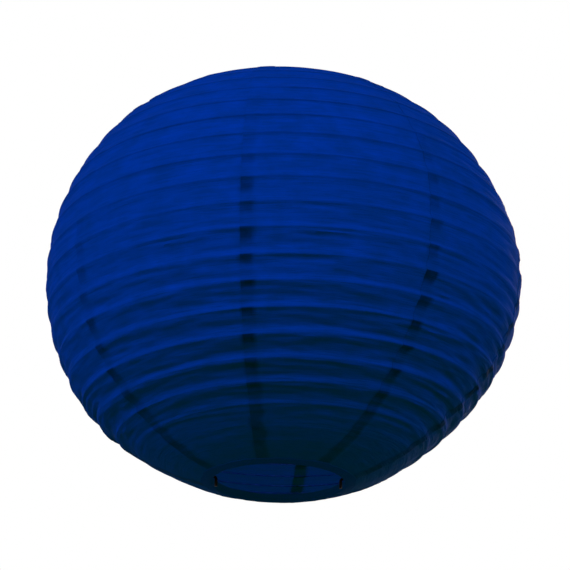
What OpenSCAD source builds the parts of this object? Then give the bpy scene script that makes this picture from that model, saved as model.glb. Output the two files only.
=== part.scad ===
// Accordion paper lantern: eight pasted paper panels on one spiral rib, a bound wire ring at each
// mouth, and a bent wire expander that pushes the rings apart and carries the hanging eye.
// Millimetres, +Z up. The origin is where a cord or hook bears, inside the top of the hanging eye.

/* [Lantern] */
// Widest diameter, over the paper at the ribs
lantern_d = 350; // [240:1:420]
// Height from the middle of the top ring to the middle of the bottom ring
lantern_h = 306; // [210:1:380]
// Diameter of each mouth, to the middle of the ring wire
opening_d = 98; // [76:1:130]

/* [Paper] */
// Thickness of a panel, a stand-in for paper of 0.08 mm
paper_t = 0.3; // [0.2:0.05:0.5]
// Width of the pasted lap between two panels
lap_w = 9; // [4:0.5:10]
// How far the paper bows inward between two turns of the rib
sag = 2.2; // [0.5:0.1:3.5]

/* [Rib and rings] */
// Diameter of the spiral rib's wire
rib_d = 0.8; // [0.6:0.1:1.2]
// Turns of the spiral rib
rib_turns = 22; // [14:1:24]
// Distance of the rib's first end from the top ring, along the paper
rib_start = 12.3; // [8:0.1:16]
// Diameter of the ring wire
ring_d = 2; // [1.6:0.1:3]
// Width of the binding strip's flap on the outside of the panels
flap_w = 7; // [4:0.5:10]
// Thickness of the binding strip
binding_t = 0.4; // [0.3:0.05:0.6]

/* [Expander] */
// Diameter of the expander's wire
wire_d = 2.2; // [1.8:0.1:3]
// Radius of the hanging eye, to the middle of the wire
eye_r = 9; // [6:0.5:12]
// Fall of the shoulders from the eye to the legs, in degrees
shoulder_fall = 10; // [6:1:30]
// Length of the tails that pass down through the bottom ring
tail = 4; // [2:0.5:8]

/* [Hidden] */
// Clearances: paper to wire, lap to panel, and pieces of different bodies
glue_gap = 0.15;
fit_gap = 0.3;
// Where the seams lie, in degrees clockwise seen from above, counted from the rib's first end
SEAMS = [0, 43, 88.8, 136.5, 181, 225, 267.5, 314, 360];
// Where the rib starts, in degrees towards +X from the front, which faces -Y
rib_az = 82;
// Columns between two seams, and rows between two turns of the rib
COLS = 3;
BAND_ROWS = 2;
TUBE_SIDES = 6;

ring_r = opening_d / 2;
// The rib's wire runs on this ellipse
half_d = lantern_d / 2 - paper_t - glue_gap - rib_d / 2;
mouth_angle = acos(ring_r / half_d);
half_h = lantern_h / 2 / sin(mouth_angle);

// Lengths along the ellipse from the top ring, each with its angle
ARC_STEPS = 240;
function arc_angle(i) = mouth_angle * (1 - 2 * i / ARC_STEPS);
function on_ellipse(a) = [half_d * cos(a), half_h * sin(a)];
ARC = [for (i = 0, s = 0; i <= ARC_STEPS;
            s = s + norm(on_ellipse(arc_angle(i + 1)) - on_ellipse(arc_angle(i))), i = i + 1)
       [s, arc_angle(i)]];
arc_len = ARC[ARC_STEPS][0];
pitch = (arc_len - 2 * rib_start) / rib_turns;

// The ellipse's outward normal, and the point at a length s that stands off by n
function normal_at(a) = let (v = [cos(a) / half_d, sin(a) / half_h]) v / norm(v);
function stand_off(s, n) = let (a = lookup(s, ARC)) on_ellipse(a) + n * normal_at(a);
// A point at a turn angle t from the rib's first end
function place(rz, t) = [rz[0] * sin(rib_az - t), -rz[0] * cos(rib_az - t), rz[1]];

// Paper stands on the rib and bows inward between its turns, less and less towards the mouths
panel_n = rib_d / 2 + glue_gap;
panel_end = ring_d / 2 + glue_gap + fit_gap;
lap_rise = paper_t + glue_gap;
function clamp01(x) = min(1, max(0, x));
function slack(s) = let (inner = rib_start + pitch)
    clamp01((s - inner) / (1.5 * pitch)) * clamp01((arc_len - inner - s) / (1.5 * pitch));
function rib_s(t, k) = rib_start + pitch * (k + t / 360);
// Lengths of the rows at turn angle t: the mouth, each turn of the rib and the row between, the mouth
function stations(t) = concat([panel_end], [for (k = [0:rib_turns - 1]) rib_s(t, k)], [arc_len - panel_end]);
ROWS = BAND_ROWS * (rib_turns + 1) + 1;
function row_s(t, i) = let (st = stations(t), b = min(floor(i / BAND_ROWS), rib_turns), f = i / BAND_ROWS - b)
    st[b] + f * (st[b + 1] - st[b]);
function row_bow(t, i) = let (b = floor(i / BAND_ROWS), f = i / BAND_ROWS - b)
    4 * f * (1 - f) * sag * slack(row_s(t, i));

// Panel g's columns: its seam, its neighbour's lap edge, even steps to the next seam, its own lap edge
function third(g) = (SEAMS[g + 1] - SEAMS[g]) / COLS;
function lap_angle(g, s) = min(0.8 * third(g), lap_w / stand_off(s, 0)[0] * 180 / PI);
LAST = COLS + 2;
function col_t(g, j, s) =
    j == 0 ? SEAMS[g] :
    j == 1 ? SEAMS[g] + lap_angle(g, s) :
    j == LAST ? SEAMS[g + 1] + lap_angle((g + 1) % (len(SEAMS) - 1), s) :
    SEAMS[g] + (j - 1) * third(g);
function base_t(g, j) = j <= 1 ? SEAMS[g] : j == LAST ? SEAMS[g + 1] : SEAMS[g] + (j - 1) * third(g);
function panel_point(g, i, j, n) =
    let (t = col_t(g, j, row_s(base_t(g, j), i)), rise = j >= LAST - 1 ? lap_rise : 0)
    place(stand_off(row_s(t, i), panel_n + n + rise - row_bow(t, i)), t);

// Faces of a sheet from two grids of rows by cols points, the outer grid first
function quad(a, b, c, d) = [[a, b, c], [a, c, d]];
function flat(l) = [for (a = l) for (b = a) b];
function sheet_faces(rows, cols) = let (n = rows * cols) flat(concat(
    [for (i = [0:rows - 2]) for (j = [0:cols - 2]) let (p = i * cols + j) quad(p + 1, p, p + cols, p + cols + 1)],
    [for (i = [0:rows - 2]) for (j = [0:cols - 2]) let (p = n + i * cols + j) quad(p, p + 1, p + cols + 1, p + cols)],
    [for (j = [0:cols - 2]) quad(j, j + 1, n + j + 1, n + j)],
    [for (j = [0:cols - 2]) let (p = n - cols + j) quad(p + 1, p, n + p, n + p + 1)],
    [for (i = [0:rows - 2]) let (p = i * cols) quad(p + cols, p, n + p, n + p + cols)],
    [for (i = [0:rows - 2]) let (p = i * cols + cols - 1) quad(p, p + cols, n + p + cols, n + p)]));

// The rib's rings stand at the panels' columns, so that its flats lie under theirs
RING_T = [for (k = [0:rib_turns - 1]) for (g = [0:len(SEAMS) - 2]) for (c = [0:COLS - 1])
          360 * k + SEAMS[g] + c * third(g)];
RIB_T = concat(RING_T, [360 * rib_turns]);
function rib_point(t, n, m) = let (s = rib_s(t, 0), a = lookup(s, ARC), q = normal_at(a))
    place(on_ellipse(a) + n * q + m * [q[1], -q[0]], t);
RIB_LINE = [for (t = RIB_T) rib_point(t, 0, 0)];
PER_TURN = COLS * (len(SEAMS) - 1);
function tube_faces(rings, sides) = flat(concat(
    [for (i = [0:rings - 2]) for (k = [0:sides - 1]) let (a = i * sides + k, b = i * sides + (k + 1) % sides)
     quad(a, a + sides, b + sides, b)],
    [[[for (k = [0:sides - 1]) k]]],
    [[[for (k = [0:sides - 1]) rings * sides - 1 - k]]]));

// Least distance between one turn of the rib and the next, wire to wire
rib_gap = min([for (i = [0:len(RIB_LINE) - 1 - PER_TURN]) for (j = [-2:2])
    let (q = i + PER_TURN + j) if (q < len(RIB_LINE)) norm(RIB_LINE[i] - RIB_LINE[q])]) - rib_d;
echo(rib_least_gap_to_itself = rib_gap, rib_pitch = pitch, paper_length_mouth_to_mouth = arc_len);

// The bound ring as the expander meets it
bound_r = ring_d / 2 + glue_gap + binding_t;
inner_flap = 1.5;
leg_x = ring_r - bound_r - fit_gap - wire_d / 2 - 1;
finger_z = bound_r + 0.3 * inner_flap + fit_gap + wire_d / 2;
bend_r = wire_d * 1.15;
hairpin_r = wire_d * 0.9;
shoulder_r = wire_d * 1.8;
finger_len = max(1, ring_r + 1 - leg_x - bend_r);
eye_side = 1.5;
neck = 2;
shoulder_len = (leg_x - eye_r - 2 * shoulder_r * (1 - sin(shoulder_fall))) / cos(shoulder_fall);
// Height of the eye's middle above the top ring
eye_z = eye_side + 2 * shoulder_r * cos(shoulder_fall) + shoulder_len * sin(shoulder_fall) + neck + bend_r
    - finger_z;
top_ring_z = -(eye_z + eye_r - wire_d / 2);
bottom_ring_z = top_ring_z - lantern_h;
leg_len = lantern_h - 2 * (finger_z + 2 * hairpin_r + bend_r);
echo(top_ring_z = top_ring_z, bottom_ring_z = bottom_ring_z, leg_x = leg_x);

module to_middle() {
    translate([0, 0, top_ring_z - lantern_h / 2]) children();
}

module paper_panel(g) {
    cols = COLS + 3;
    color("#16358f") to_middle()
        polyhedron(
            points = [for (n = [paper_t, 0]) for (i = [0:ROWS - 1]) for (j = [0:cols - 1]) panel_point(g, i, j, n)],
            faces = sheet_faces(ROWS, cols));
}

module spiral_rib() {
    color("#8b8f96") to_middle()
        polyhedron(
            points = [for (t = RIB_T) for (k = [0:TUBE_SIDES - 1])
                let (a = 360 * k / TUBE_SIDES + 30) rib_point(t, rib_d / 2 * sin(a), rib_d / 2 * cos(a))],
            faces = tube_faces(len(RIB_T), TUBE_SIDES));
}

module ring(z) {
    color("#9a9da3") translate([0, 0, z])
        rotate_extrude($fn = 96) translate([ring_r, 0]) circle(d = ring_d, $fn = 24);
}

// A paper strip folded round the ring, with a wide flap outside the panels and a short one inside.
// side is 1 at the top mouth and -1 at the bottom one.
module binding(z, side) {
    q = normal_at(mouth_angle);
    flap_n = panel_n + 2 * paper_t + glue_gap + fit_gap;
    wrap_r = ring_d / 2 + glue_gap;
    out = [for (a = [100:20:260]) (wrap_r + binding_t) * [cos(a), sin(a)]];
    inn = [for (a = [260:-20:100]) wrap_r * [cos(a), sin(a)]];
    line = concat([[flap_w, flap_n + binding_t], [wrap_r, flap_n + binding_t]], out,
        [[inner_flap, -wrap_r - binding_t], [inner_flap, -wrap_r]], inn,
        [[wrap_r, flap_n], [flap_w, flap_n]]);
    color("#0d2266") translate([0, 0, z]) rotate_extrude($fn = 96)
        polygon([for (p = line) [ring_r + p[0] * q[1] + p[1] * q[0], side * (p[1] * q[1] - p[0] * q[0])]]);
}

// A ball a hair wider than the wire, which joins a slanting run to its bends
module weld() {
    sphere(d = wire_d + 0.04, $fn = 24);
}

// A wire along +Z that bends in its XZ plane: each step is a straight length, a bend radius and a bend
module bent_wire(steps, i = 0) {
    step = steps[i];
    turn = sign(step[2]);
    slanted = abs(step[2]) % 90 != 0;
    if (step[0] > 0)
        cylinder(d = wire_d, h = step[0], $fn = 24);
    if (slanted)
        translate([0, 0, step[0]]) weld();
    if (turn != 0)
        translate([turn * step[1], 0, step[0]]) {
            if (slanted)
                rotate([0, step[2], 0]) translate([-turn * step[1], 0, 0]) weld();
            rotate([90, 0, 0]) rotate([0, 0, turn > 0 ? 180 - step[2] : 0])
                rotate_extrude(angle = abs(step[2]), $fn = 96) translate([step[1], 0]) circle(d = wire_d, $fn = 24);
            if (i + 1 < len(steps))
                rotate([0, step[2], 0]) translate([-turn * step[1], 0, 0]) bent_wire(steps, i + 1);
        }
}

module expander() {
    rise = 90 - shoulder_fall;
    finger = [[finger_len, hairpin_r, 180], [finger_len, bend_r, -90]];
    half = concat(
        [[0, eye_r, 90], [eye_side, shoulder_r, -rise], [shoulder_len, shoulder_r, rise], [neck, bend_r, -90]],
        finger, [[leg_len, bend_r, -90]], finger, [[tail + finger_z - bend_r, 0, 0]]);
    color("#b4b7bc") translate([0, 0, wire_d / 2]) for (m = [0, 1])
        mirror([m, 0, 0]) rotate([0, 90, 0]) bent_wire(half);
}

paper_panel(0);  // paper_panel_1
paper_panel(1);  // paper_panel_2
paper_panel(2);  // paper_panel_3
paper_panel(3);  // paper_panel_4
paper_panel(4);  // paper_panel_5
paper_panel(5);  // paper_panel_6
paper_panel(6);  // paper_panel_7
paper_panel(7);  // paper_panel_8
spiral_rib();
ring(top_ring_z);  // top_ring
ring(bottom_ring_z);  // bottom_ring
binding(top_ring_z, 1);  // top_binding
binding(bottom_ring_z, -1);  // bottom_binding
expander();
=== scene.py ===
"""Accordion paper lantern, seen from below: dyed paper panels on a spiral rib, with two bound mouths."""
import math

import bpy
import numpy as np
from mathutils import Matrix, Vector


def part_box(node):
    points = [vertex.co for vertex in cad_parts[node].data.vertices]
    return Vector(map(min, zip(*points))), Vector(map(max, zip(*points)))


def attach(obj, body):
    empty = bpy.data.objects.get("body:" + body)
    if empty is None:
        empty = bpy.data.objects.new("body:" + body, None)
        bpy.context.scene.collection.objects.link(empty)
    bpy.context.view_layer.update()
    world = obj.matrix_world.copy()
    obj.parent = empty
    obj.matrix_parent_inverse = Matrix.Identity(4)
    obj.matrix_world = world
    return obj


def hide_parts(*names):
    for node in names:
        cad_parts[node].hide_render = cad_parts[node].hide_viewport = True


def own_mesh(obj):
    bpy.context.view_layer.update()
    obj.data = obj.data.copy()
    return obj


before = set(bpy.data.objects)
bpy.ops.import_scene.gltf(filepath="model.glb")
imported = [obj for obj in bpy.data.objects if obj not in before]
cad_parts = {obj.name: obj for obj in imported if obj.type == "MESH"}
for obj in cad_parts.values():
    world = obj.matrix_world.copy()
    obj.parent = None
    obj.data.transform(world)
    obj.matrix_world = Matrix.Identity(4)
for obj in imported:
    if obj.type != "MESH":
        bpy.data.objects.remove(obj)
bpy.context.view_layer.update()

MM = 0.001

# Sizes in millimetres, as in the part's source
LANTERN_D = 350
LANTERN_H = 306
OPENING_D = 98
LAP_W = 9
RIB_D = 0.8
RIB_TURNS = 22
RIB_START = 12.3
RING_D = 2
FLAP_W = 7
SOLID_PAPER_T = 0.3
GLUE_GAP = 0.15
FIT_GAP = 0.3
# Seams in degrees clockwise from above, counted from the rib's first end, and where that end lies
SEAMS = [0, 43, 88.8, 136.5, 181, 225, 267.5, 314, 360]
RIB_AZ = 82

# How the paper is drawn, in millimetres: its thickness, the depth of its grooves and ledges, and how far a
# lap stands up
PAPER_T = 0.2
BINDING_T = 0.3
GROOVE = 1.1
LEDGE = 2.9
LAP_RISE = 0.35
# Millimetres over which a lap rises, and over which the binding strips still hold the paper true
LAP_SLOPE = 2.5
HELD = 14
# Bands at the top and at the bottom over which the paper grows slack
TAUT_TOP = 1.5
TAUT_BOTTOM = 3.2
# Length round the lantern and height of one fold and one ripple of the paper
FOLD_MM = (55, 5.2)
RIPPLE_MM = (14, 2.6)
# Height of the binding strip's inner edge, which stands up inside each mouth. It is slit on both sides of the
# expander's fingers, over so many degrees, and what is left there lies flat
LIP_H = 4
SLIT_HALF = 2.2
SLIT_FLAP = 1.5
# How far the ribs have settled half-way down
SETTLE = 1.6
# Rows of a panel from rib to rib, columns of the sheets, and points of the rib to a turn
BAND_ROWS = 16
PANEL_COLS = 60
BINDING_COLS = 720
RIB_POINTS = 96
# Where the lantern is pulled out of round: azimuth, share of the way down, and how wide and high that reaches
LOW_LEFT = (-55, 0.74, 38, 0.16)
# How far the shade stands out of true at such places, in millimetres: fuller low on the left, half-way down
# on the right and at both shoulders, and flatter low on the right and round the top
OUT_OF_TRUE = [
    (1.8, LOW_LEFT),
    (3, (-85, 0.77, 32, 0.11)),
    (3, (90, 0.49, 40, 0.13)),
    (-2.4, (80, 0.78, 36, 0.12)),
    (1.9, (-68, 0.21, 32, 0.08)),
    (1.5, (68, 0.21, 32, 0.08)),
    (-1.8, (0, 0.05, 45, 0.05)),
]
# Share of the way down from which each seam's darkening shows, partly paste and partly painted shade that
# grows towards the bottom, and millimetres over which its edge fades
LAP_SHADE_FROM = np.array([0.3, 0.26, 0.25, 0.4, 0.25, 0.2, 0.35, 0.2, 0.3])
PASTE_FADE = 4.5

ring_r = OPENING_D / 2
top_z = (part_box("top_ring")[0][2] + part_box("top_ring")[1][2]) / 2 / MM
middle_z = top_z - LANTERN_H / 2
half_d = LANTERN_D / 2 - SOLID_PAPER_T - GLUE_GAP - RIB_D / 2
mouth_angle = math.acos(ring_r / half_d)
half_h = LANTERN_H / 2 / math.sin(mouth_angle)

# Lengths along the paper from the top ring, each with its angle on the ellipse
arc_angle = np.linspace(mouth_angle, -mouth_angle, 1201)
arc_steps = np.hypot(np.diff(half_d * np.cos(arc_angle)), np.diff(half_h * np.sin(arc_angle)))
arc = np.concatenate([[0], np.cumsum(arc_steps)])
arc_len = arc[-1]
pitch = (arc_len - 2 * RIB_START) / RIB_TURNS
panel_n = RIB_D / 2 + GLUE_GAP
panel_end = RING_D / 2 + GLUE_GAP + FIT_GAP


def turned_to(r, t, z):
    """Points at radius r, t degrees round and height z, in metres."""
    az = np.radians(RIB_AZ - t)
    return np.stack([r * np.sin(az), -r * np.cos(az), z], axis=-1) * MM


def on_lantern(s, n, t):
    """Points s along the paper from the top ring, n off the rib's ellipse and t degrees round, in metres."""
    a = np.interp(s, arc, arc_angle)
    across, up = np.cos(a) / half_d, np.sin(a) / half_h
    size = np.hypot(across, up)
    r = half_d * np.cos(a) + n * across / size
    z = half_h * np.sin(a) + n * up / size
    return turned_to(r, t, z + middle_z)


def radius_at(s):
    return half_d * np.cos(np.interp(s, arc, arc_angle))


def smooth(x):
    """From 0 to 1 as x does, with a soft start and end."""
    x = np.clip(x, 0, 1)
    return x * x * (3 - 2 * x)


# Cells after which waver repeats
CELLS_X, CELLS_Y = 97, 89


def waver(x, y=0.5, *, seed, period=CELLS_X):
    """Smooth unevenness from -1 to 1 with one swing to a unit cell. It repeats after period cells in x."""
    table = np.random.default_rng(seed).uniform(-1, 1, (CELLS_X, CELLS_Y))
    x0, y0 = np.floor(x).astype(int), np.floor(y).astype(int)
    fx, fy = smooth(x - x0), smooth(y - y0)
    left, right = x0 % period % CELLS_X, (x0 + 1) % period % CELLS_X
    low, high = y0 % CELLS_Y, (y0 + 1) % CELLS_Y
    below = table[left, low] * (1 - fx) + table[right, low] * fx
    above = table[left, high] * (1 - fx) + table[right, high] * fx
    return below * (1 - fy) + above * fy


def nearness(s, t, place):
    """From 0 to 1, how near a point is to a place: azimuth, share of the way down, width and height."""
    azimuth, share, spread, reach = place
    off = (RIB_AZ - t - azimuth + 180) % 360 - 180
    return np.exp(-(off / spread) ** 2 - ((s / arc_len - share) / reach) ** 2)


def off_rings(s):
    """From 0 at the mouths, where the rings and strips hold the paper true, to 1 a little further in."""
    return smooth((s - FLAP_W) / HELD) * smooth((arc_len - FLAP_W - s) / HELD)


def uneven(s, t):
    """How far the shade stands out of true, as a thing made by hand does."""
    out = 0.7 * waver(t % 360 / 60, s / 70, seed=31, period=6)
    for depth, place in OUT_OF_TRUE:
        out = out + depth * nearness(s, t, place)
    return out * off_rings(s)


def rib_s(turned):
    """Length along the paper of the rib after so many degrees. It has settled a little, and wanders."""
    s = RIB_START + pitch * turned / 360
    settled = SETTLE * np.sin(math.pi * np.clip(s / arc_len, 0, 1)) + 3 * nearness(s, turned, LOW_LEFT)
    return s + settled + 0.6 * waver(turned / 31, seed=11)


# The paper's slopes from one rib to the next, at shares of the way down. High on the lantern it dips steeply
# under each rib and runs straight to the next, where it flares out. Low down it falls inward for longer and
# comes back as a ledge
GROOVE_SLOPE = ([0, 0.03, 0.1, 0.16, 0.75, 0.85, 0.96, 1], [0, 1, 1, -0.05, -0.05, -0.6, -0.6, 0])
LEDGE_SLOPE = ([0, 0.05, 0.16, 0.55, 0.7, 0.8, 0.9, 0.97, 1], [0, 1.1, 1.0, 0.75, 0.45, -0.3, -2.0, -2.6, 0])
bow_at = np.linspace(0, 1, 401)


def bow_of(slopes):
    """Depths from 0 at the ribs to 1 at the deepest, from the slopes between them."""
    depth = np.cumsum(np.interp(bow_at, *slopes))
    depth -= depth[0] + bow_at * (depth[-1] - depth[0])
    return depth / depth.max()


groove_bow = bow_of(GROOVE_SLOPE)
ledge_bow = bow_of(LEDGE_SLOPE)


def slack(s):
    """How loose the paper is: it bows less and less towards the mouths."""
    inner = RIB_START + pitch
    return smooth((s - inner) / (TAUT_TOP * pitch)) * smooth((arc_len - inner - s) / (TAUT_BOTTOM * pitch))


def paper_rows(t, row):
    """Length, share of the way down its band and degrees wound, for rows of a sheet at t degrees round."""
    band = np.minimum(np.floor(row / BAND_ROWS), RIB_TURNS)
    share = row / BAND_ROWS - band
    # Rows lie closer together near the ribs, where the paper turns sharply
    share = share - 0.5 * np.sin(2 * math.pi * share) / (2 * math.pi)
    upper = np.where(band == 0, panel_end, rib_s(t + 360 * (band - 1)))
    lower = np.where(band == RIB_TURNS, arc_len - panel_end, rib_s(t + 360 * band))
    return upper + share * (lower - upper), share, t + 360 * band


def paper_bow(share, turned, t, low):
    """How far the paper lies inside the line from rib to rib: grooves high up, ledges where low is 1."""
    patchy = waver(turned / 23, seed=7)
    groove = GROOVE * (0.9 + 0.5 * patchy) * np.interp(share, bow_at, groove_bow) + 2.4 * share * (1 - share)
    ledge = LEDGE * np.interp(share, bow_at, ledge_bow)
    # The paper is slackest in front and tightest at the sides, where the photo shows a smooth outline
    front = np.cos(np.radians(RIB_AZ - t))
    loose = 0.68 + np.where(front > 0, 0.32, -0.24) * front
    return (groove + (ledge - groove) * low) * loose * (1 + 0.25 * waver(turned / 26, seed=5))


def paper_creases(s, share, turned, t, low):
    """Folds and ripples that run round the lantern, deeper where the paper is slack and low is 1."""
    round_mm = np.radians(t % 360) * radius_at(s)
    folds = 1 - 2 * np.abs(waver(round_mm / FOLD_MM[0], s / FOLD_MM[1] + round_mm / 400, seed=21))
    folded = 0.28 + 0.5 * smooth(0.5 + 0.9 * waver(turned / 19, seed=24))
    ripples = waver(round_mm / RIPPLE_MM[0], s / RIPPLE_MM[1] + round_mm / 70, seed=22)
    between = smooth(share / 0.16) * smooth((1 - share) / 0.14)
    creases = (folded * folds + (0.24 + 0.2 * low) * ripples) * (1 + 0.3 * low)
    return creases * between * (0.35 + 0.65 * slack(s))


def paper_stand(s, share, turned, t):
    """How far the paper stands off the rib's ellipse: cusps at the ribs, a bow between them, and creases."""
    low = smooth((s / arc_len - 0.42) / 0.3 + 0.2 * waver(turned / 40, seed=6))
    bow = paper_bow(share, turned, t, low) * slack(s)
    return panel_n + uneven(s, t) - bow + paper_creases(s, share, turned, t, low) * off_rings(s)


def deselect():
    bpy.ops.object.select_all(action="DESELECT")


def lay_sheet(name, cols, rows, shape):
    """Moves a grid to shape(share across, row), in metres, and gives the sheet with both for each point."""
    deselect()
    bpy.ops.mesh.primitive_grid_add(x_subdivisions=cols, y_subdivisions=rows, size=1)
    sheet = bpy.context.object
    sheet.name = sheet.data.name = name
    flat = np.empty(len(sheet.data.vertices) * 3)
    sheet.data.vertices.foreach_get("co", flat)
    flat = flat.reshape(-1, 3) + 0.5
    across, row = flat[:, 0], np.rint(flat[:, 1] * rows)
    sheet.data.vertices.foreach_set("co", shape(across, row).ravel())
    sheet.data.update()
    return sheet, across, row


def run_length(points):
    return float(np.linalg.norm(np.diff(points, axis=0), axis=1).sum())


def face_area(sheet):
    return sum(face.area for face in sheet.data.polygons)


def thicken(sheet, thickness, sharp):
    """Gives a sheet its thickness outward and shades it, with folds over sharp degrees left crisp."""
    wall = sheet.modifiers.new("paper", "SOLIDIFY")
    wall.thickness = thickness * MM
    wall.offset = 1
    bpy.ops.object.modifier_apply(modifier=wall.name)
    bpy.ops.object.shade_smooth_by_angle(angle=math.radians(sharp))


def linear(code):
    """An sRGB hex colour as linear values with full alpha."""
    parts = [int(code[i:i + 2], 16) / 255 for i in (1, 3, 5)]
    return [c / 12.92 if c <= 0.04045 else ((c + 0.055) / 1.055) ** 2.4 for c in parts] + [1]


def node(tree, kind, inputs=None, **settings):
    """Adds a node with its settings, and sets or links its inputs."""
    new = tree.nodes.new("ShaderNode" + kind)
    for key, value in settings.items():
        setattr(new, key, value)
    for key, value in (inputs or {}).items():
        if isinstance(value, bpy.types.NodeSocket):
            tree.links.new(value, new.inputs[key])
        else:
            new.inputs[key].default_value = value
    return new


def new_material(name):
    made = bpy.data.materials.new(name)
    made.use_nodes = True
    made.node_tree.nodes.clear()
    return made, made.node_tree


def dyed_paper(name, pale, deep, lap_and_painted_shade, painted_glow):
    """Thin long-fibred paper dyed in the vat: matt, mottled where the dye took unevenly, with fine creases
    that run round the lantern, darker where two sheets are pasted together, with painted shade on the laps
    and high ribs, light that comes through, and a faint painted glow."""
    paper, tree = new_material(name)
    place = node(tree, "TexCoord")
    # A panel is about 140 mm wide and 425 mm long, so this counts millimetres on the sheet
    sheet_mm = node(tree, "Mapping", {"Vector": place.outputs["UV"], "Scale": (140, 425, 1)})
    # Dye clouds of about 14 mm
    clouds = node(tree, "TexNoise", {
        "Vector": place.outputs["Object"], "Scale": 70, "Detail": 3, "Roughness": 0.6})
    # Creases and fibres 25 mm long and 1.6 mm apart
    along = node(tree, "Mapping", {"Vector": sheet_mm.outputs["Vector"], "Scale": (0.04, 0.62, 1)})
    fibres = node(tree, "TexNoise", {
        "Vector": along.outputs["Vector"], "Scale": 1, "Detail": 4, "Roughness": 0.62, "Distortion": 0.5})
    # Loose fibres of about 1 mm
    fluff = node(tree, "TexNoise", {"Vector": place.outputs["Object"], "Scale": 1000, "Detail": 2})
    mottle = node(tree, "Mix", {
        0: 0.55, 2: clouds.outputs["Fac"], 3: fibres.outputs["Fac"]}, data_type="FLOAT")
    spread = node(tree, "MapRange", {"Value": mottle.outputs[0], "From Min": 0.36, "From Max": 0.64})
    dye = node(tree, "Mix", {
        0: spread.outputs["Result"], 6: linear(deep), 7: linear(pale)}, data_type="RGBA")
    # Paste and painted shade, where the sheet's points say so, in blots of about 9 mm
    lap = node(tree, "Attribute", attribute_name="lap")
    blots = node(tree, "TexNoise", {"Vector": place.outputs["Object"], "Scale": 110, "Detail": 2})
    blotchy = node(tree, "MapRange", {
        "Value": blots.outputs["Fac"], "From Min": 0.3, "From Max": 0.62, "To Min": 0.7, "To Max": 1})
    paste_and_shade = node(tree, "Math", {0: lap.outputs["Fac"], 1: blotchy.outputs["Result"]}, operation="MULTIPLY")
    colour = node(tree, "Mix", {
        0: paste_and_shade.outputs[0], 6: dye.outputs[2], 7: linear(lap_and_painted_shade)}, data_type="RGBA")
    rough = node(tree, "MapRange", {"Value": fluff.outputs["Fac"], "To Min": 0.68, "To Max": 0.86})
    creased = node(tree, "Bump", {"Height": fibres.outputs["Fac"], "Strength": 0.8, "Distance": 0.0006})
    fibrous = node(tree, "Bump", {
        "Height": fluff.outputs["Fac"], "Strength": 0.25, "Distance": 0.0002,
        "Normal": creased.outputs["Normal"]})
    # Painted glow: a faint light the paper gives off, a trace of colour that keeps its shade from going
    # black, less of it where paste and painted shade darken the paper
    painted_glow_strength = node(tree, "MapRange", {"Value": paste_and_shade.outputs[0], "To Min": 0.0165, "To Max": 0.008})
    face = node(tree, "BsdfPrincipled", {
        "Base Color": colour.outputs[2], "Roughness": rough.outputs["Result"], "Specular IOR Level": 0.012,
        "Specular Tint": linear("#3ca8b4"), "Normal": fibrous.outputs["Normal"],
        "Emission Color": linear(painted_glow), "Emission Strength": painted_glow_strength.outputs["Result"]})
    # Light passes both faces of a sheet, so each lets through a stronger colour than the sheet's own
    glow = node(tree, "Mix", {
        0: paste_and_shade.outputs[0], 6: linear("#0060d8"), 7: linear("#003a92")}, data_type="RGBA")
    through = node(tree, "BsdfTranslucent", {"Color": glow.outputs[2], "Normal": fibrous.outputs["Normal"]})
    both = node(tree, "MixShader", {0: 0.3, 1: face.outputs[0], 2: through.outputs[0]})
    node(tree, "OutputMaterial", {"Surface": both.outputs[0]})
    return paper


def drawn_wire(name, colour, dull, roughness):
    """Drawn steel wire: metal with fine die lines along it, and patches of a duller bloom."""
    wire, tree = new_material(name)
    place = node(tree, "TexCoord")
    # Bloom in patches of about 6 mm
    bloom = node(tree, "TexNoise", {
        "Vector": place.outputs["Object"], "Scale": 180, "Detail": 4, "Roughness": 0.65})
    spread = node(tree, "MapRange", {"Value": bloom.outputs["Fac"], "From Min": 0.35, "From Max": 0.68})
    tone = node(tree, "Mix", {
        0: spread.outputs["Result"], 6: linear(colour), 7: linear(dull)}, data_type="RGBA")
    rough = node(tree, "MapRange", {
        "Value": bloom.outputs["Fac"], "To Min": roughness - 0.1, "To Max": roughness + 0.16})
    # Die lines 0.3 mm apart, drawn coarser than the real ones so that they show
    lines = node(tree, "Mapping", {"Vector": place.outputs["Object"], "Scale": (3300, 3300, 60)})
    die = node(tree, "TexNoise", {"Vector": lines.outputs["Vector"], "Scale": 1, "Detail": 1})
    scored = node(tree, "Bump", {"Height": die.outputs["Fac"], "Strength": 0.2, "Distance": 0.00006})
    metal = node(tree, "BsdfPrincipled", {
        "Base Color": tone.outputs[2], "Metallic": 1.0, "Roughness": rough.outputs["Result"],
        "Normal": scored.outputs["Normal"]})
    node(tree, "OutputMaterial", {"Surface": metal.outputs[0]})
    return wire


# Mulberry paper dyed deep blue, nearly black where two sheets are pasted and where shade is painted on the
# laps and ribs, with a faint painted glow
panel_paper = dyed_paper("dyed_mulberry_paper", "#002dab", "#00248a", "#001048", "#20f078")
# A darker paper for the strips round the mouths, with a faint painted glow of its own
binding_paper = dyed_paper("dyed_binding_paper", "#001c88", "#00166c", "#00166c", "#18d8e0")
# Wire that has taken dye from the paper pasted to it
rib_steel = drawn_wire("dyed_rib_wire", "#4a74e6", "#3458b8", 0.5)
# Plain wire gone grey
ring_steel = drawn_wire("drawn_ring_wire", "#7d8084", "#5d5f63", 0.4)
# Wire drawn nearly black and dull as painted shade, so that nothing bright shows in the mouth
dark_steel = drawn_wire("wire_darkened_as_shade", "#1e1a1a", "#141112", 0.72)


def set_material(piece, material):
    piece.data.materials.clear()
    piece.data.materials.append(material)


def keep_shares(piece, name, shares):
    """Writes a value from 0 to 1 at each point of a piece, for its material."""
    kept = piece.data.attributes.new(name, "FLOAT", "POINT")
    kept.data.foreach_set("value", shares.astype(np.float32))


def fold_with_shade(piece):
    """Puts a piece of the shade on the shade's body, with a mesh of its own."""
    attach(piece, "shade")
    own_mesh(piece)


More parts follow.
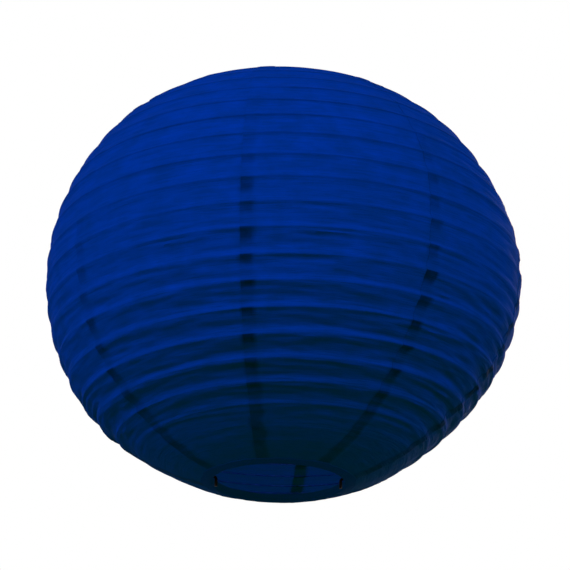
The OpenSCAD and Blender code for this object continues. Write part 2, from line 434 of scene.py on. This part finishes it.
def panel_places(number, across, row):
    """Length, share of the way down a band, degrees wound and degrees round, for points of a panel. It starts
    at its own seam and passes the next one by a lap."""
    start, end = SEAMS[number - 1], SEAMS[number]
    s = paper_rows(start + across * (end - start), row)[0]
    lap = np.degrees(LAP_W / radius_at(s))
    t = start + across * (end - start + lap)
    return *paper_rows(t, row), t


def past_seam(s, t, seam):
    """Millimetres from a seam, clockwise."""
    return np.radians(t - SEAMS[seam]) * radius_at(s)


def paste_and_shade_share(number, across, row):
    """From 0 to 1, how much paste and painted shade darken the points of a panel: on its laps, and as a
    painted shadow line high up along the rib.
    """
    s, share, turned, t = panel_places(number, across, row)
    down = s / arc_len
    seam = np.where(across > 0.5, number, number - 1)
    torn = 2.2 * waver(s / 6, 0.5 + seam, seed=62)
    over = smooth((past_seam(s, t, number) + torn) / PASTE_FADE + 0.5)
    under = 1 - smooth((past_seam(s, t, number - 1) - LAP_W + torn) / PASTE_FADE + 0.5)
    # Painted shade darkens the laps under the ribs, more in some bands than in others. The laps darken most
    # below the middle, partly from paste and partly as painted shade, and the darkening runs together near
    # the bottom mouth
    band = np.floor(turned / 360) + 0.5
    band_shade = 0.95 + 0.3 * waver(1.7 * band, 0.5 + seam, seed=61)
    reach = 0.42 + 0.25 * waver(1.3 * band, 0.5 + seam, seed=63)
    under_rib_shade = band_shade * (1 - 0.85 * smooth((share - reach) / 0.4 + 0.5))
    near_mouth_tone = 0.58 + 0.3 * waver(s / 8, 0.5 + seam, seed=64)
    under_rib_shade += (near_mouth_tone - under_rib_shade) * smooth((down - 0.74) / 0.16)
    # Darker towards the bottom, partly paste and partly painted shade
    towards_bottom = 0.05 + 0.95 * smooth((down - LAP_SHADE_FROM[seam]) / 0.4)
    lapped = np.maximum(over, under) * under_rib_shade * towards_bottom
    # High up, where the paper is taut, a fine line of painted shadow runs along the rib, where the wire would
    # block light through the paper
    rib_shadow_line = np.maximum(0, 1 - np.minimum(share, 1 - share) * pitch / 1.2)
    rib_shadow_line *= 0.5 + 0.2 * waver(turned / 23, seed=7)
    return np.maximum(lapped, rib_shadow_line * (1 - smooth((down - 0.35) / 0.25)))


def paper_panel(number):
    """One panel: it starts at its seam, under its neighbour's edge, and laps over the next panel."""
    def shape(across, row):
        s, share, turned, t = panel_places(number, across, row)
        rise = LAP_RISE * smooth(1 + past_seam(s, t, number) / LAP_SLOPE)
        return on_lantern(s, paper_stand(s, share, turned, t) + rise, t)

    rows = BAND_ROWS * (RIB_TURNS + 1)
    length = run_length(shape(np.full(rows + 1, 0.5), np.arange(rows + 1)))
    panel, across, row = lay_sheet(f"panel_{number}", PANEL_COLS, rows, shape)
    keep_shares(panel, "lap", paste_and_shade_share(number, across, row))
    thicken(panel, PAPER_T, sharp=60)
    set_material(panel, panel_paper)
    fold_with_shade(panel)
    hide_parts(f"paper_panel_{number}")


def rib_wire():
    """The spiral rib: one wire under the cusps of the paper from mouth to mouth."""
    turned = np.linspace(0, 360 * RIB_TURNS, RIB_POINTS * RIB_TURNS + 1)
    s = rib_s(turned)
    line = on_lantern(s, uneven(s, turned), turned)
    deselect()
    curve = bpy.data.curves.new("rib", "CURVE")
    curve.dimensions = "3D"
    curve.bevel_depth = RIB_D / 2 * MM
    curve.bevel_resolution = 2
    curve.use_fill_caps = True
    path = curve.splines.new("POLY")
    path.points.add(len(line) - 1)
    path.points.foreach_set("co", np.c_[line, np.ones(len(line))].ravel())
    rib = bpy.data.objects.new("rib", curve)
    bpy.context.collection.objects.link(rib)
    rib.select_set(True)
    bpy.context.view_layer.objects.active = rib
    bpy.ops.object.convert(target="MESH")
    bpy.ops.object.shade_smooth_by_angle(angle=math.radians(50))
    set_material(rib, rib_steel)
    fold_with_shade(rib)
    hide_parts("spiral_rib")


def binding(side, z, end, body):
    """A strip pasted round a ring: a tucked flap outside the panels, a turn round the wire and a lip inside,
    which is slit where the expander's fingers pass. The flap is a piece of its own, which goes on the shade
    with the panels. Side is 1 at the top and -1 at the bottom."""
    wrap = RING_D / 2 + GLUE_GAP
    flap_n = panel_n + PAPER_T * 2 + LAP_RISE
    # Rows of the strip: shares of the flap's width, angles round the wire, and the inner edge
    flap = np.linspace(1, 0.16, 9)
    turn = np.radians(np.linspace(100, 260, 15))
    rows = len(flap) + len(turn) + 1
    row_along = np.concatenate([flap, np.zeros(len(turn)), [0]])
    row_out = np.concatenate([flap, wrap * np.cos(turn), [SLIT_FLAP]])
    row_up = np.concatenate([np.full(len(flap), flap_n), wrap * np.sin(turn), [-wrap]])
    # The way the paper faces at the ring
    normal = np.array([math.cos(mouth_angle) / half_d, math.sin(mouth_angle) / half_h])
    normal /= np.hypot(*normal)

    def shape(across, row):
        t = across * 360 % 360
        step = row.astype(int)
        along = row_along[step]
        width = FLAP_W + 0.8 * waver(t / 9, seed=41 + side, period=40)
        tuck = 0.22 * np.maximum(0, waver(t / 3, seed=51 + side, period=120))
        # How far a point lies along the paper from the ring, and how far outside it
        p = np.where(row < len(flap), width * along, row_out[step])
        n = row_up[step] + (tuck * along - 0.1 * along * along)
        from_finger = np.abs((RIB_AZ - t) % 180 - 90)
        lip = np.where(row == rows - 1, smooth((from_finger - SLIT_HALF) / SLIT_HALF), 0)
        lip_h = LIP_H + 0.5 * waver(t / 9, seed=45 + side, period=40)
        p += lip * (wrap * math.cos(turn[-1]) + lip_h * normal[0] - p)
        n += lip * (wrap * math.sin(turn[-1]) - lip_h * normal[1] - n)
        r = ring_r + p * normal[1] + n * normal[0]
        return turned_to(r, t, z + side * (n * normal[1] - p * normal[0]))

    def pasted_strip(name, first, last):
        """The strip from one row to another, closed round the mouth, with its area before it is thickened."""
        strip = lay_sheet(name, BINDING_COLS, last - first, lambda across, row: shape(across, row + first))[0]
        bpy.ops.object.mode_set(mode="EDIT")
        bpy.ops.mesh.select_all(action="SELECT")
        bpy.ops.mesh.remove_doubles(threshold=0.00001)
        if side < 0:
            bpy.ops.mesh.flip_normals()
        bpy.ops.object.mode_set(mode="OBJECT")
        area = face_area(strip)
        thicken(strip, BINDING_T, sharp=40)
        set_material(strip, binding_paper)
        return strip, area

    edge = len(flap) - 1
    pasted, pasted_area = pasted_strip(f"{end}_flap", 0, edge)
    wound, wound_area = pasted_strip(f"{end}_strip", edge, rows - 1)
    fold_with_shade(pasted)
    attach(wound, body)
    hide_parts(f"{end}_binding")


rib_wire()
for number in range(1, len(SEAMS)):
    paper_panel(number)
binding(1, top_z, "top", "shade")
binding(-1, top_z - LANTERN_H, "bottom", "bottom_rim")
set_material(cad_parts["top_ring"], ring_steel)
set_material(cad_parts["bottom_ring"], ring_steel)
set_material(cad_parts["expander"], dark_steel)


def seen_rays(tree):
    """1 for rays that show a thing, straight, in metal or through glass, and 0 for rays that light others."""
    ray = node(tree, "LightPath")
    in_view = node(tree, "Math", {
        0: ray.outputs["Is Camera Ray"], 1: ray.outputs["Is Glossy Ray"]}, operation="ADD", use_clamp=True)
    seen = node(tree, "Math", {
        0: in_view.outputs[0], 1: ray.outputs["Is Transmission Ray"]}, operation="ADD", use_clamp=True)
    return seen.outputs[0]


# Height and side of the floor, in metres
FLOOR_Z = -2.8
FLOOR_SIZE = 120


def floor():
    """A plain pale floor well below the hanging lantern. It throws little light back up."""
    deselect()
    bpy.ops.mesh.primitive_plane_add(size=FLOOR_SIZE, location=(0, 0, FLOOR_Z))
    plane = bpy.context.object
    plane.name = "floor"
    pale, tree = new_material("pale_floor")
    seen = seen_rays(tree)
    tone = node(tree, "Mix", {0: seen, 6: linear("#323234"), 7: linear("#f4f4f3")}, data_type="RGBA")
    matt = node(tree, "BsdfDiffuse", {"Color": tone.outputs[2]})
    # Lifts the floor towards white where it is seen, over the shadow that the lights throw on it
    lift = node(tree, "Math", {0: seen, 1: 0.76}, operation="MULTIPLY")
    bright = node(tree, "Emission", {"Color": linear("#ffffff"), "Strength": lift.outputs[0]})
    both = node(tree, "AddShader", {0: matt.outputs[0], 1: bright.outputs[0]})
    node(tree, "OutputMaterial", {"Surface": both.outputs[0]})
    set_material(plane, pale)


def daylight():
    """A dim sky over a dimmer ground, and white wherever the camera or a mirror sees it."""
    world = bpy.data.worlds.new("studio")
    bpy.context.scene.world = world
    world.use_nodes = True
    tree = world.node_tree
    tree.nodes.clear()
    way = node(tree, "TexCoord")
    split = node(tree, "SeparateXYZ", {"Vector": way.outputs["Generated"]})
    height = node(tree, "MapRange", {
        "Value": split.outputs["Z"], "From Min": -0.15, "From Max": 0.25, "To Min": 0.01, "To Max": 0.12},
        interpolation_type="SMOOTHSTEP")
    dim = node(tree, "Background", {"Color": linear("#ffffff"), "Strength": height.outputs["Result"]})
    white = node(tree, "Background", {"Color": linear("#ffffff"), "Strength": 1.0})
    sky = node(tree, "MixShader", {0: seen_rays(tree), 1: dim.outputs[0], 2: white.outputs[0]})
    node(tree, "OutputWorld", {"Surface": sky.outputs[0]})


def aim(thing, azimuth, elevation, distance, roll=0):
    """Puts a light or camera round the lantern's middle and points it there. Azimuth is degrees right of the
    front."""
    az, el = math.radians(azimuth), math.radians(elevation)
    away = Vector((math.sin(az) * math.cos(el), -math.cos(az) * math.cos(el), math.sin(el)))
    place = Matrix.Translation(away * distance + Vector((0, 0, middle_z * MM)))
    turn = away.to_track_quat("Z", "Y").to_matrix().to_4x4()
    thing.matrix_world = place @ turn @ Matrix.Rotation(math.radians(roll), 4, "Z")


# Distance and side of the soft lights, in metres
SOFTBOX_AWAY = 1.8
SOFTBOX_SIZE = 1.2


def softbox(name, azimuth, elevation, watts):
    """A square soft light that looks at the lantern's middle."""
    light = bpy.data.lights.new(name, "AREA")
    light.shape = "SQUARE"
    light.size = SOFTBOX_SIZE
    light.energy = watts
    lamp = bpy.data.objects.new(name, light)
    bpy.context.collection.objects.link(lamp)
    aim(lamp, azimuth, elevation, SOFTBOX_AWAY)


# The view fitted to the photo: its outline, eleven ribs and the bottom ring
VIEW_ELEVATION = -21.2
VIEW_ROLL = 1.05
VIEW_DISTANCE = 1.872
IMAGE_PX = 570
FOCAL_PX = 2512
# Where the lantern's middle falls in the image
MIDDLE_PX = (282, 284.8)


def photo_camera():
    lens = bpy.data.cameras.new("photo_camera")
    lens.sensor_width = 36
    lens.lens = FOCAL_PX / IMAGE_PX * lens.sensor_width
    lens.shift_x = (IMAGE_PX / 2 - MIDDLE_PX[0]) / IMAGE_PX
    lens.shift_y = (MIDDLE_PX[1] - IMAGE_PX / 2) / IMAGE_PX
    camera = bpy.data.objects.new("photo_camera", lens)
    bpy.context.collection.objects.link(camera)
    aim(camera, 0, VIEW_ELEVATION, VIEW_DISTANCE, VIEW_ROLL)
    bpy.context.scene.camera = camera


floor()
daylight()
softbox("key", -46, 20, 23.6)
softbox("fill", 42, 20, 20.4)
softbox("side", -75, -5, 5)
softbox("back", 160, 16, 15.5)
photo_camera()
bpy.context.scene.view_settings.view_transform = "Standard"
